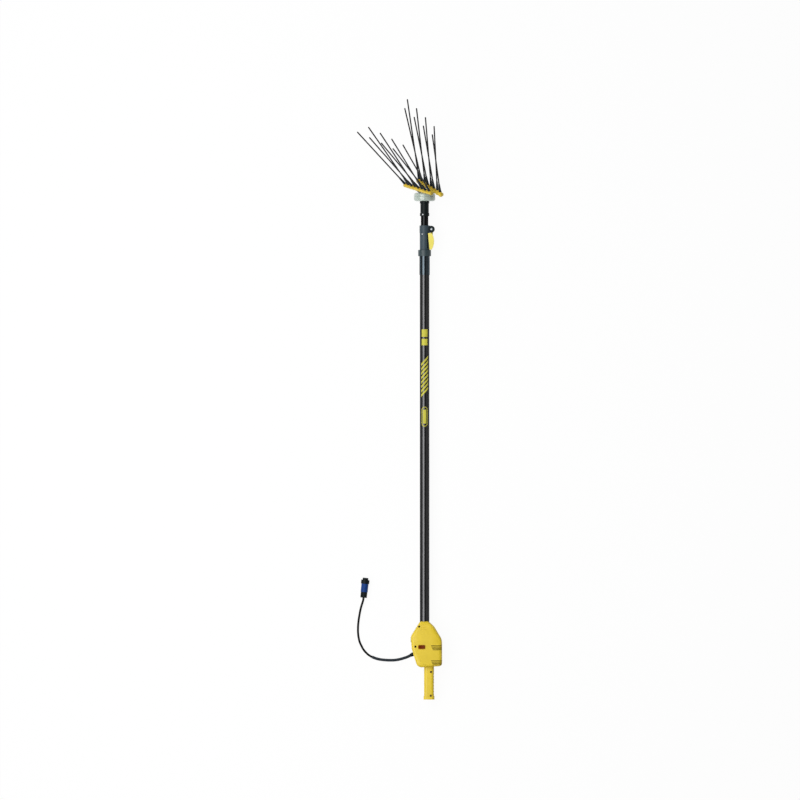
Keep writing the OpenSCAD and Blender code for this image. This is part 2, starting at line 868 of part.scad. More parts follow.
// Transmission: a tube with a hexagonal bore turns the hexagonal rod that slides in it
module drive_tube() {
    color("silver") laid() difference() {
        rod(drive_tube_r, drive_tube_bottom, drive_tube_top);
        translate([0, 0, drive_tube_bottom - overrun])
            cylinder(r = rod_bore_r, h = drive_tube_top - drive_tube_bottom + 2 * overrun, $fn = 6);
    }
}

module drive_rod() {
    color("gray") laid() translate([0, 0, drive_rod_bottom])
        cylinder(r = rod_r, h = inner_tube_top - drive_rod_bottom, $fn = 6);
}

// Head
socket_screw_z = socket_bottom + socket_rim / 2;

module head_socket() {
    color([0.06, 0.07, 0.07]) laid() difference() {
        union() {
            rod(socket_d / 2, socket_bottom, gearbox_bottom);
            rod(socket_rim_d / 2, socket_bottom, socket_bottom + socket_rim);
            rod(socket_rim_d / 2, gearbox_bottom - socket_collar, gearbox_bottom);
        }
        rod(inner_tube_r + press_fit, socket_bottom - overrun, inner_tube_top);
        rod(journal_r + run_fit, inner_tube_top - overrun, gearbox_bottom + overrun);
        pin_through(socket_screw_x, socket_screw_z, socket_screw_r + press_fit, -socket_rim_d, 0);
    }
}

module socket_screw() {
    color("silver") laid() {
        front = -sqrt(socket_rim_d * socket_rim_d / 4 - socket_screw_x * socket_screw_x);
        pin_through(socket_screw_x, socket_screw_z, socket_screw_r,
                    front - socket_screw_head / 2, -inner_tube_r);
    }
}

// Puffed outside of the gearbox, as a half profile turned about the pole
module gearbox_outside(low, high) {
    round_r = gearbox_puff;
    polygon(concat([[0, low]],
        [for (a = [0:15:90]) [gearbox_r - round_r + round_r * sin(a), low + round_r - round_r * cos(a)]],
        [for (a = [90:-15:0]) [gearbox_r - round_r + round_r * sin(a), high - round_r + round_r * cos(a)]],
        [[0, high]]));
}

// Skin of the gearbox with a groove where bowl and cover meet
module gearbox_skin() {
    difference() {
        rotate_extrude() gearbox_outside(gearbox_bottom, gearbox_top);
        ring(gearbox_r + overrun, gearbox_r - seam_depth,
             bowl_top - seam_height / 2, bowl_top + seam_height / 2);
    }
}

module gearbox_bowl() {
    color([0.82, 0.85, 0.83]) laid() difference() {
        intersection() {
            gearbox_skin();
            rod(gearbox_r, gearbox_bottom, bowl_top);
        }
        rod(gearbox_cave_r, cave_floor, bowl_top + overrun);
        rod(journal_r + run_fit, gearbox_bottom - overrun, cave_floor + overrun);
        for (side = [-1, 1]) translate([side * post_x, 0, 0])
            rod(post_d / 2 + run_fit, post_bottom, cave_floor + overrun);
        gearbox_screw_places() rod(cover_screw_r + press_fit, cave_floor, bowl_top + overrun);
    }
}

cover_screw_seat = gearbox_top - cover_screw_sink - cover_screw_head;

module gearbox_screw_places() {
    for (k = [0:cover_screw_count - 1]) rotate(cover_screw_turn + k * 360 / cover_screw_count)
        translate([cover_screw_place + gearbox_wall, 0, 0]) children();
}

module gearbox_cover() {
    color([0.86, 0.88, 0.86]) laid() difference() {
        intersection() {
            gearbox_skin();
            rod(gearbox_r, bowl_top, gearbox_top);
        }
        rod(gearbox_cave_r, bowl_top - overrun, cave_roof);
        for (side = [-1, 1]) translate([side * post_x, 0, 0])
            rod(post_d / 2 + run_fit, cave_roof - overrun, gearbox_top + overrun);
        gearbox_screw_places() {
            rod(cover_screw_r + run_fit, bowl_top - overrun, gearbox_top + overrun);
            rod(2 * cover_screw_r + air_gap, cover_screw_seat, gearbox_top + overrun);
        }
    }
}

module cover_screws() {
    color("silver") laid() gearbox_screw_places() {
        rod(cover_screw_r, cave_floor + overrun, cover_screw_seat);
        rod(2 * cover_screw_r, cover_screw_seat, cover_screw_seat + cover_screw_head);
    }
}

module crank() {
    color("gray") laid() {
        rod(journal_r, inner_tube_top, cave_floor + air_gap);
        rod(crank_web_r, cave_floor + air_gap, cave_floor + air_gap + crank_web);
        translate([crank_throw, 0, 0]) rod(crank_pin_r, cave_floor + crank_web, fork_bottom + fork_height);
    }
}

// Rocker: a post with a toothed sector that meshes with the other one
module rocker(side, post_top) {
    pitch_r = sector_module * sector_teeth / 2;
    tip_r = pitch_r + sector_module;
    translate([side * post_x, 0, 0]) {
        rod(post_d / 2, post_bottom + air_gap, post_top);
        translate([0, 0, sector_bottom]) linear_extrude(sector_height) intersection() {
            rotate(side > 0 ? 180 + 180 / sector_teeth : 0)
                gear_outline(sector_teeth, sector_module, tooth_thinning);
            rotate(side > 0 ? 180 : 0) polygon(concat([[-post_d / 2, -post_d / 2], [0, -post_d / 2]],
                [for (a = [-sector_half_angle:sector_half_angle / 2:sector_half_angle]) 2 * tip_r * ray(a)],
                [[0, post_d / 2], [-post_d / 2, post_d / 2]]));
        }
    }
}

right_post_top = gearbox_top + right_bar_rise - bar_height / 2;
left_post_top = gearbox_top + left_bar_rise;

// Fork on the right post: a slot wide enough for the whole turn of the crank pin
module rocker_right() {
    gap = crank_pin_r + crank_throw + fork_wall;
    color("gray") laid() {
        rocker(1, right_post_top);
        difference() {
            translate([post_x - fork_reach, -gap - fork_wall, fork_bottom])
                cube([fork_reach, 2 * (gap + fork_wall), fork_height]);
            translate([post_x - fork_reach - overrun, -gap, fork_bottom - overrun])
                cube([fork_reach - post_d / 2 + overrun, 2 * gap, fork_height + 2 * overrun]);
        }
    }
}

module rocker_left() {
    color("gray") laid() rocker(-1, left_post_top);
}

// Combs, each in its own frame: bar along x, tines up
module comb_frame(side) {
    right = side == "right";
    place = right ? [right_bar_x, right_bar_y, gearbox_top + right_bar_rise]
                  : [left_bar_x, left_bar_y, gearbox_top + left_bar_rise];
    translate(place)
        rotate([0, 0, right ? right_turn : left_turn])
            rotate([right ? right_lean : left_lean, 0, 0])
                rotate([0, 0, right ? right_twist : left_twist])
                    children();
}

module at_tine(i, side) {
    k = i - (TINES + 1) / 2;
    way = (i % 2 == 0 ? 1 : -1) * (side == "right" ? 1 : -1);
    translate([k * tine_pitch, 0, 0])
        rotate([0, k * tine_fan, 0])
            rotate([way * tine_splay, 0, 0])
                children();
}

bar_foot = -bar_height / 2 - tine_seat;

module bar_beam() {
    translate([-bar_length / 2, 0, 0]) rotate([90, 0, 90]) linear_extrude(bar_length)
        handle_section(bar_width, bar_height, bar_round);
}

module comb_bar(side) {
    color("gold") laid() comb_frame(side) difference() {
        union() {
            bar_beam();
            for (i = [1:TINES]) at_tine(i, side) rod(tine_socket_r, bar_foot, tine_socket_height);
        }
        for (i = [1:TINES]) at_tine(i, side)
            rod(tine_d / 2 + press_fit, tine_seat, tine_socket_height + overrun);
    }
}

module tine_boots(side) {
    color([0.16, 0.17, 0.19]) laid() comb_frame(side) for (i = [1:TINES]) at_tine(i, side) difference() {
        translate([0, 0, tine_socket_height]) cylinder(r1 = boot_foot_r, r2 = boot_top_r, h = boot_length);
        rod(tine_d / 2 + press_fit, tine_seat, tine_socket_height + boot_length + overrun);
    }
}

module tine(side, i) {
    tip = tine_length - tine_grade * (i - (TINES + 1) / 2) - tine_d / 2;
    color([0.05, 0.05, 0.05]) laid() comb_frame(side) at_tine(i, side) {
        rod(tine_d / 2, tine_seat, tip);
        translate([0, 0, tip]) sphere(r = tine_d / 2);
    }
}

// Arm from the post to the middle of the bar
module comb_arm(side) {
    right = side == "right";
    post = [right ? post_x : -post_x, 0, (right ? right_post_top : left_post_top) - arm_hub_height];
    color([0.07, 0.07, 0.08]) laid() difference() {
        hull() {
            translate(post) cylinder(r = arm_hub_r, h = arm_hub_height, $fn = hull_sides);
            comb_frame(side) translate([0, 0, bar_foot - arm_pad_height])
                cylinder(r = arm_pad_r, h = arm_pad_height, $fn = hull_sides);
        }
        translate([post.x, post.y, 0])
            rod(post_d / 2 + press_fit, post.z - overrun, post.z + arm_hub_height + overrun);
        comb_frame(side) bar_beam();
        comb_frame(side) for (i = [1:TINES]) at_tine(i, side)
            rod(tine_socket_r + press_fit, bar_foot, tine_socket_height);
    }
}

housing_front();
housing_back();
housing_gasket();
housing_screws();
switch_frame();
switch_rocker();
cable_gland();
cable_sleeve();
power_cable();
plug_nut();
plug_shell();
plug_ring();
plug_nose();
motor_case();
motor_rotor();
motor_fan();
pinion();
drive_gear();
gear_bearing();
control_board();
outer_tube();
pole_sleeve();
clamp_collar();
clamp_body();
clamp_lever();
clamp_pin();
inner_tube();
guide_bush();
drive_tube();
drive_rod();
head_socket();
socket_screw();
gearbox_bowl();
gearbox_cover();
cover_screws();
crank();
rocker_right();
rocker_left();
for (side = SIDES) {
    comb_arm(side);
    comb_bar(side);
    tine_boots(side);
    for (i = [1:TINES]) tine(side, i);
}
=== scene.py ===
"""Electric olive harvester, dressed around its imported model.

The tool lies on its back on a pale floor and is seen from straight above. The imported
solids give the tool's places and sizes. This script adds the supply lead, smooth skins over the
moulded pieces, small trim and the finish of every surface.
"""

import logging
import math
from dataclasses import dataclass
from enum import Enum
from typing import Any

import bmesh
import bpy
from mathutils import Matrix, Vector


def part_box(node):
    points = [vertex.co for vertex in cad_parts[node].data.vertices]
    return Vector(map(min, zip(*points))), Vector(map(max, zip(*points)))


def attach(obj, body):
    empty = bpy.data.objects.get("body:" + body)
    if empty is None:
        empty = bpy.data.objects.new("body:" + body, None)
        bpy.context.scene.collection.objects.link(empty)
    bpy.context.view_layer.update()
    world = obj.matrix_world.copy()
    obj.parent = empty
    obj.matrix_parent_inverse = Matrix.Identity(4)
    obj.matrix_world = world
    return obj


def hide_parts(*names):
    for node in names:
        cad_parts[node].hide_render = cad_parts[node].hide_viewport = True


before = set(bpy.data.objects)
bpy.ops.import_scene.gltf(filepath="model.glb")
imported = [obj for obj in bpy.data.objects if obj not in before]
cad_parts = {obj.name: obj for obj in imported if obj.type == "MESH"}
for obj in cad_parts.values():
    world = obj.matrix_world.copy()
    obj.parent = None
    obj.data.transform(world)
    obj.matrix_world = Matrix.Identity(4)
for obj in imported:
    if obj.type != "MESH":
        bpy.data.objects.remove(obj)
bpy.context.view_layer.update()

LOG = logging.getLogger("olive_harvester")
MM = 0.001
ALONG_POLE = Vector((0, 1, 0))
WHITE = (1.0, 1.0, 1.0, 1.0)
# Points of a turned shape closer than this are one point
TURN_WELD_MM = 0.002
# Steps over a block's rounded edges, and the angle under which they shade smooth
BLOCK_ROUND_STEPS = 3
BLOCK_SMOOTH_DEG = 35.0


class Body(Enum):
    """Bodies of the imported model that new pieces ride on."""

    POWER_UNIT = "power_unit"
    SWITCH = "switch"
    LEVER = "lever"
    MAST = "mast"
    COMB_RIGHT = "comb_right"
    COMB_LEFT = "comb_left"


def linear(colour: str) -> tuple[float, float, float, float]:
    """Turns an sRGB hex colour into the linear colour that a shader takes.

    Args:
        colour: Six hex digits after a hash sign.

    Returns:
        Red, green, blue and an alpha of one.
    """
    parts = [int(colour[i:i + 2], 16) / 255 for i in (1, 3, 5)]
    # The sRGB transfer curve
    curve = [p / 12.92 if p <= 0.04045 else ((p + 0.055) / 1.055) ** 2.4 for p in parts]
    return (*curve, 1.0)


def add_node(
    tree: bpy.types.NodeTree,
    kind: str,
    values: dict[str, Any] | None = None,
    links: dict[str, bpy.types.NodeSocket] | None = None,
    **settings: Any,
) -> bpy.types.Node:
    """Adds one shader node with its settings and links.

    Args:
        tree: Node tree to add to.
        kind: Blender's identifier of the node.
        values: Input name to fixed value.
        links: Input name to the output socket that feeds it.
        settings: Attributes of the node itself.

    Returns:
        The new node.
    """
    node = tree.nodes.new(kind)
    for key, value in settings.items():
        setattr(node, key, value)
    for key, value in (values or {}).items():
        node.inputs[key].default_value = value
    for key, socket in (links or {}).items():
        tree.links.new(socket, node.inputs[key])
    return node


@dataclass(frozen=True)
class Finish:
    """A surface finish: one real material and the way its surface was made.

    Attributes:
        name: Common name of the material and its process.
        colour: Main sRGB colour.
        roughness: Mean roughness of the surface.
        metallic: One for bare metal, else zero.
        grain_mm: Size of the surface grain in millimetres.
        grain_depth_mm: Depth of that grain in millimetres.
        run: Stretch of the grain along X, Y and Z, for drawn or brushed surfaces.
        mottle: Share by which the colour varies.
        cloud_mm: Size of the colour's slow variation in millimetres.
        coat: Weight of a clear gloss layer.
        specular: Strength of the mirror reflection, a half for common plastics.
        edge: Tint of the reflection towards grazing angles.
        spread: How far the roughness swings with the grain, to either side.
        grain_detail: Octaves of the grain.
        grain_break: How strongly the grain's finer octaves show.
        cloud_detail: Octaves of the slow variation.
        cloud_range: Values of the slow variation at the darkest and at the lightest colour.
        coat_roughness: Roughness of the clear layer.
    """

    name: str
    colour: str
    roughness: float
    metallic: float = 0.0
    grain_mm: float = 1.5
    grain_depth_mm: float = 0.03
    run: tuple[float, float, float] = (1.0, 1.0, 1.0)
    mottle: float = 0.06
    cloud_mm: float = 40.0
    coat: float = 0.0
    specular: float = 0.5
    edge: str = "#FFFFFF"
    spread: float = 0.07
    grain_detail: float = 3.0
    grain_break: float = 0.55
    cloud_detail: float = 2.0
    cloud_range: tuple[float, float] = (0.3, 0.7)
    coat_roughness: float = 0.12

    def material(self) -> bpy.types.Material:
        """Returns the finish as a material, which is made on first use."""
        known = bpy.data.materials.get(self.name)
        return known if known else self.build()

    def build(self) -> bpy.types.Material:
        """Makes the material's node tree.

        Returns:
            The new material.
        """
        material = bpy.data.materials.new(self.name)
        material.use_nodes = True
        tree = material.node_tree
        tree.nodes.clear()
        place = add_node(tree, "ShaderNodeTexCoord").outputs["Object"]
        stretched = add_node(
            tree, "ShaderNodeMapping", {"Scale": self.run}, {"Vector": place}
        ).outputs["Vector"]
        grain = add_node(
            tree, "ShaderNodeTexNoise",
            {"Scale": 1 / (self.grain_mm * MM), "Detail": self.grain_detail, "Roughness": self.grain_break},
            {"Vector": stretched},
        ).outputs["Fac"]
        cloud = add_node(
            tree, "ShaderNodeTexNoise",
            {"Scale": 1 / (self.cloud_mm * MM), "Detail": self.cloud_detail},
            {"Vector": place},
        ).outputs["Fac"]
        colour = self.colour_socket(tree, cloud)
        rough = add_node(
            tree, "ShaderNodeMapRange",
            {"To Min": self.roughness - self.spread, "To Max": self.roughness + self.spread},
            {"Value": grain},
        ).outputs["Result"]
        bump = add_node(
            tree, "ShaderNodeBump",
            {"Strength": 1.0, "Distance": self.grain_depth_mm * MM},
            {"Height": grain},
        ).outputs["Normal"]
        shader = add_node(
            tree, "ShaderNodeBsdfPrincipled",
            {"Metallic": self.metallic, "Coat Weight": self.coat, "Coat Roughness": self.coat_roughness,
             "Specular IOR Level": self.specular, "Specular Tint": linear(self.edge)},
            {"Base Color": colour, "Roughness": rough, "Normal": bump},
        )
        add_node(tree, "ShaderNodeOutputMaterial", None, {"Surface": shader.outputs["BSDF"]})
        return material

    def colour_socket(self, tree: bpy.types.NodeTree, cloud: bpy.types.NodeSocket) -> bpy.types.NodeSocket:
        """Varies the main colour slowly over the surface.

        Args:
            tree: Node tree of the material.
            cloud: Slow noise.

        Returns:
            The colour output.
        """
        base = Vector(linear(self.colour)[:3])
        ramp = add_node(tree, "ShaderNodeValToRGB", None, {"Fac": cloud})
        tones = (1 - self.mottle, 1 + self.mottle)
        for stop, position, tone in zip(ramp.color_ramp.elements, self.cloud_range, tones):
            stop.position = position
            stop.color = (*(base * tone), 1.0)
        return ramp.outputs["Color"]


class Finishes:
    """Every finish of the tool, named for its real material.

    Real grain is a fraction of a millimetre, too fine for the render. It is drawn coarser, from 0.8 mm
    up.
    """

    # Glass-filled nylon shells: warm yellow with a spark-eroded satin skin
    SHELL = Finish(
        "moulded_nylon_yellow", "#E1C42B", 0.42, grain_mm=1.4, grain_depth_mm=0.07, mottle=0.05,
    )
    # Comb bars: the same nylon, a little browner and scuffed by branches
    COMB = Finish(
        "moulded_nylon_comb_yellow", "#D2B536", 0.42, grain_mm=2.0, grain_depth_mm=0.06, mottle=0.12,
        cloud_mm=14,
    )
    # Lever: a brighter yellow moulding with more gloss
    LEVER = Finish(
        "moulded_acetal_yellow", "#F1E268", 0.34, grain_mm=2.5, grain_depth_mm=0.03, mottle=0.04,
    )
    # Seal in the parting line: soft, dull grey rubber
    SEAL = Finish("extruded_rubber_grey", "#6F6B4A", 0.7, grain_mm=1.2, mottle=0.1)
    # Drawn and black anodised tube: fine lines along the pole, a soft bright streak and dark flanks
    TUBE = Finish(
        "anodised_tube_black", "#4E4E4F", 0.2, metallic=1.0, grain_mm=1.0, grain_depth_mm=0.001,
        run=(1, 0.02, 1), mottle=0.05, edge="#000000", spread=0.03,
    )
    # Sliding tube: the same anodising, dulled by the clamp
    INNER_TUBE = Finish(
        "anodised_tube_dull_black", "#272829", 0.26, metallic=1.0, grain_mm=1.0, grain_depth_mm=0.001,
        run=(1, 0.02, 1), mottle=0.06, edge="#000000", spread=0.04,
    )
    # Sleeve under the clamp: dark polished metal with a narrow streak
    SLEEVE = Finish(
        "polished_tube_graphite", "#4A5359", 0.16, metallic=1.0, grain_mm=1.0, grain_depth_mm=0.001,
        run=(1, 0.03, 1), mottle=0.06, edge="#101418", spread=0.03,
    )
    # Clamp body: slate glass-filled nylon with a satin skin
    SLATE = Finish(
        "moulded_nylon_slate", "#37464F", 0.48, specular=0.35, grain_mm=1.4, grain_depth_mm=0.07,
        mottle=0.06,
    )
    # Collar and seam clips: charcoal nylon, darker and a little glossier than the clamp
    CHARCOAL = Finish(
        "moulded_nylon_charcoal", "#314145", 0.42, grain_mm=1.4, grain_depth_mm=0.07, mottle=0.08,
    )
    # Black mouldings such as the socket, the gland and the plug nut: little shine
    BLACK = Finish(
        "moulded_nylon_black", "#0A1415", 0.46, specular=0.16, grain_mm=1.8, grain_depth_mm=0.05,
        mottle=0.12,
    )
    # Gearbox: pale grey housing under a clear gloss
    PALE = Finish(
        "moulded_abs_pale_grey", "#AAB7AE", 0.2, grain_mm=3.0, grain_depth_mm=0.02, mottle=0.05, coat=0.8,
    )
    # Boots: matt dark elastomer
    BOOT = Finish(
        "moulded_elastomer_graphite", "#1A2329", 0.6, specular=0.25, grain_mm=1.2, grain_depth_mm=0.04,
        mottle=0.1,
    )
    # Tines: pultruded carbon rods, near black, with a fine uneven sheen
    TINE = Finish(
        "pultruded_carbon_rod", "#0D0F10", 0.4, specular=0.2, grain_mm=0.9, grain_depth_mm=0.01,
        mottle=0.2, cloud_mm=25,
    )
    # Lead: extruded rubber sheath, dull black
    CABLE = Finish(
        "extruded_rubber_black", "#060707", 0.52, specular=0.09, grain_mm=1.5, grain_depth_mm=0.04,
        mottle=0.1,
    )
    # Sleeve over the lead: blue-grey vinyl, a little lighter than the rubber
    CABLE_SLEEVE = Finish(
        "extruded_vinyl_blue_grey", "#1F272E", 0.5, specular=0.18, grain_mm=2.0, grain_depth_mm=0.04,
        mottle=0.08,
    )
    # Plug shell: deep blue nylon
    PLUG = Finish(
        "moulded_nylon_blue", "#103878", 0.46, specular=0.14, grain_mm=1.8, grain_depth_mm=0.05,
        mottle=0.08,
    )
    # Rocker: deep red, smooth from the mould
    ROCKER = Finish(
        "moulded_polycarbonate_red", "#702A00", 0.4, specular=0.08, grain_mm=2.5, grain_depth_mm=0.02,
        mottle=0.06,
    )
    # Switch frame: amber moulding
    SWITCH_FRAME = Finish(
        "moulded_nylon_amber", "#A86E12", 0.44, specular=0.2, grain_mm=2.0, grain_depth_mm=0.03,
    )
    # Plate of dark open foam behind the vents, deep and uneven: its dark colour is painted shade inside the
    # vent slots
    VENT_PAINTED_SHADE = Finish(
        "vent_painted_shade_foam", "#2A250B", 0.9, grain_mm=1.2, grain_depth_mm=0.4, mottle=0.3, cloud_mm=3,
    )
    # Screws and pins: bright zinc plate
    ZINC = Finish(
        "zinc_plated_steel", "#D6D9DB", 0.45, metallic=1.0, grain_mm=0.8, grain_depth_mm=0.01, mottle=0.06,
    )
    # Case screws deep in their wells: black oxide
    BLACK_OXIDE = Finish("black_oxide_steel", "#1C1712", 0.5, grain_mm=0.8, grain_depth_mm=0.01)
    # Motor case, gears and shafts: machined steel with fine tool lines
    STEEL = Finish(
        "machined_steel", "#8E9193", 0.35, metallic=1.0, grain_mm=0.8, grain_depth_mm=0.015,
        run=(1, 0.1, 1), mottle=0.08,
    )
    # Armature: lacquered copper wire, wound in close turns
    COPPER = Finish(
        "wound_copper", "#A8683A", 0.35, metallic=1.0, grain_mm=0.8, grain_depth_mm=0.05, run=(0.2, 1, 0.2),
    )
    # Pinion: cut brass
    BRASS = Finish("cut_brass", "#C9A24A", 0.3, metallic=1.0, grain_mm=1.0, grain_depth_mm=0.02)
    # Board: green solder mask
    BOARD = Finish("circuit_board_green", "#1F5A33", 0.35, grain_mm=1.5, grain_depth_mm=0.03)
    # Print on the pole: yellow screen ink, half matt
    INK = Finish(
        "screen_ink_yellow", "#C4BE42", 0.5, specular=0.3, grain_mm=0.8, grain_depth_mm=0.01, mottle=0.08,
    )


FINISH_OF: dict[str, Finish] = {
    "housing_front": Finishes.SHELL,
    "housing_back": Finishes.SHELL,
    "housing_gasket": Finishes.SEAL,
    "housing_screws": Finishes.BLACK_OXIDE,
    "switch_frame": Finishes.SWITCH_FRAME,
    "switch_rocker": Finishes.ROCKER,
    "cable_gland": Finishes.BLACK,
    "cable_sleeve": Finishes.CABLE_SLEEVE,
    "power_cable": Finishes.CABLE,
    "plug_nut": Finishes.BLACK,
    "plug_shell": Finishes.PLUG,
    "plug_ring": Finishes.BLACK,
    "plug_nose": Finishes.BLACK,
    "motor_case": Finishes.STEEL,
    "motor_rotor": Finishes.COPPER,
    "motor_fan": Finishes.BLACK,
    "pinion": Finishes.BRASS,
    "drive_gear": Finishes.STEEL,
    "gear_bearing": Finishes.STEEL,
    "control_board": Finishes.BOARD,
    "outer_tube": Finishes.TUBE,
    "pole_sleeve": Finishes.SLEEVE,
    "clamp_collar": Finishes.CHARCOAL,
    "clamp_body": Finishes.SLATE,
    "clamp_lever": Finishes.LEVER,
    "clamp_pin": Finishes.ZINC,
    "inner_tube": Finishes.INNER_TUBE,
    "guide_bush": Finishes.BLACK,
    "drive_tube": Finishes.STEEL,
    "drive_rod": Finishes.STEEL,
    "head_socket": Finishes.BLACK,
    "socket_screw": Finishes.ZINC,
    "gearbox_bowl": Finishes.PALE,
    "gearbox_cover": Finishes.PALE,
    "cover_screws": Finishes.ZINC,
    "crank": Finishes.STEEL,
}
FAMILY_FINISHES: dict[str, Finish] = {
    "rocker_": Finishes.STEEL,
    "comb_arm_": Finishes.BLACK,
    "comb_bar_": Finishes.COMB,
    "tine_boots_": Finishes.BOOT,
    "tine_": Finishes.TINE,
}


def finish_of(node: str) -> Finish:
    """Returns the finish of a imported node, by its name or by the family it belongs to."""
    if node in FINISH_OF:
        return FINISH_OF[node]
    return next(finish for family, finish in FAMILY_FINISHES.items() if node.startswith(family))


def dress(target: bpy.types.Object, finish: Finish) -> None:
    """Gives an object one finish in all its slots."""
    target.data.materials.clear()
    target.data.materials.append(finish.material())


def link_mesh(name: str, shape: bmesh.types.BMesh, finish: Finish, body: Body) -> bpy.types.Object:
    """Makes a finished piece from a bmesh and hangs it on its body.

    Args:
        name: Piece name.
        shape: The modelled shape, which is freed.
        finish: Surface finish.
        body: Body that it rides on.

    Returns:
        The new object.
    """
    mesh = bpy.data.meshes.new(name)
    shape.to_mesh(mesh)
    shape.free()
    piece = bpy.data.objects.new(name, mesh)
    bpy.context.scene.collection.objects.link(piece)
    dress(piece, finish)
    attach(piece, body.value)
    LOG.info("piece %s: %d faces on %s", name, len(mesh.polygons), body.value)
    return piece


def smooth_by_angle(shape: bmesh.types.BMesh, angle_deg: float) -> None:
    """Shades a shape smooth and keeps edges over an angle sharp."""
    limit = math.radians(angle_deg)
    for face in shape.faces:
        face.smooth = True
    for edge in shape.edges:
        edge.smooth = len(edge.link_faces) == 2 and edge.calc_face_angle(0.0) < limit


@dataclass
class Skin:
    """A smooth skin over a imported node, merged from its loose triangles.

    Attributes:
        node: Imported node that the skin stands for.
        body: Body that the node is on.
        round_mm: Rounding of the node's outer edges, as a mould leaves it, or zero.
        round_steps: Steps over a rounded edge.
        angle_deg: Edges over this angle stay sharp, or are rounded.
        weld_mm: Points closer than this are merged.
        flat_deg: Faces that differ by less than this become one face before the rounding.
        sliver_mm: Edges shorter than this go before the rounding.
        crease_deg: Inner edges over this angle stay sharp after the rounding.
    """

    node: str
    body: Body
    round_mm: float = 0.0
    round_steps: int = 2
    angle_deg: float = 32.0
    weld_mm: float = 0.004
    flat_deg: float = 0.5
    sliver_mm: float = 0.05
    crease_deg: float = 60.0

    def round_edges(self, shape: bmesh.types.BMesh) -> None:
        """Rounds every outer edge over the angle.

        Args:
            shape: The merged shape.
        """
        flat, limit = math.radians(self.flat_deg), math.radians(self.angle_deg)
        bmesh.ops.dissolve_limit(shape, angle_limit=flat, verts=shape.verts, edges=shape.edges)
        bmesh.ops.dissolve_degenerate(shape, dist=self.sliver_mm * MM, edges=shape.edges)
        sharp = [edge for edge in shape.edges if edge.calc_face_angle_signed(0.0) > limit]
        bmesh.ops.bevel(
            shape, geom=sharp, offset=self.round_mm * MM, segments=self.round_steps, profile=0.5,
            affect="EDGES", material=-1, loop_slide=True,
        )
        smooth_by_angle(shape, self.crease_deg)

    def build(self) -> bpy.types.Object:
        """Builds the skin and lets it replace its node.

        Returns:
            The new object.
        """
        shape = bmesh.new()
        shape.from_mesh(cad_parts[self.node].data)
        bmesh.ops.remove_doubles(shape, verts=shape.verts, dist=self.weld_mm * MM)
        if self.round_mm:
            self.round_edges(shape)
        else:
            smooth_by_angle(shape, self.angle_deg)
        piece = link_mesh(f"{self.node}_skin", shape, finish_of(self.node), self.body)
        if self.round_mm:
            piece.modifiers.new("flat_faces_stay_flat", "WEIGHTED_NORMAL").keep_sharp = True
        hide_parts(self.node)
        return piece


SKINS: tuple[Skin, ...] = (
    Skin("housing_front", Body.POWER_UNIT),
    Skin("housing_back", Body.POWER_UNIT),
    Skin("housing_gasket", Body.POWER_UNIT),
    Skin("switch_frame", Body.POWER_UNIT, round_mm=0.4),
    Skin("switch_rocker", Body.SWITCH, round_mm=0.4),
    Skin("cable_gland", Body.POWER_UNIT, round_mm=0.3),
    Skin("clamp_collar", Body.POWER_UNIT, round_mm=0.9),
    Skin("clamp_body", Body.POWER_UNIT, round_mm=0.6),
    Skin("clamp_lever", Body.LEVER, round_mm=0.9),
    Skin("head_socket", Body.MAST, round_mm=0.6),
    Skin("gearbox_bowl", Body.MAST, round_mm=0.5),
    Skin("gearbox_cover", Body.MAST, round_mm=0.5),
    Skin("comb_arm_right", Body.COMB_RIGHT),
    Skin("comb_arm_left", Body.COMB_LEFT),
    Skin("comb_bar_right", Body.COMB_RIGHT, round_mm=0.5),
    Skin("comb_bar_left", Body.COMB_LEFT, round_mm=0.5),
)


@dataclass(frozen=True)
class SoftBox:
    """One soft lamp over the tool.

    Attributes:
        name: Lamp name.
        place: Place from the middle of the tool, in metres.
        size: Width and length in metres, the length along the pole.
        watts: Power of the lamp.
    """

    name: str
    place: tuple[float, float, float]
    size: tuple[float, float]
    watts: float

    def hang(self, middle: Vector) -> bpy.types.Object:
        """Hangs the lamp over the tool, facing its middle.

        Args:
            middle: Middle of the tool in metres.

        Returns:
            The lamp.
        """
        data = bpy.data.lights.new(self.name, "AREA")
        data.shape = "RECTANGLE"
        data.size, data.size_y = self.size
        data.energy = self.watts
        lamp = bpy.data.objects.new(self.name, data)
        place = Vector(self.place)
        lamp.location = middle + place
        across, toward = ALONG_POLE.cross(place).normalized(), place.normalized()
        lamp.rotation_mode = "QUATERNION"
        lamp.rotation_quaternion = Matrix((across, ALONG_POLE, toward)).transposed().to_quaternion()
        bpy.context.scene.collection.objects.link(lamp)
        return lamp


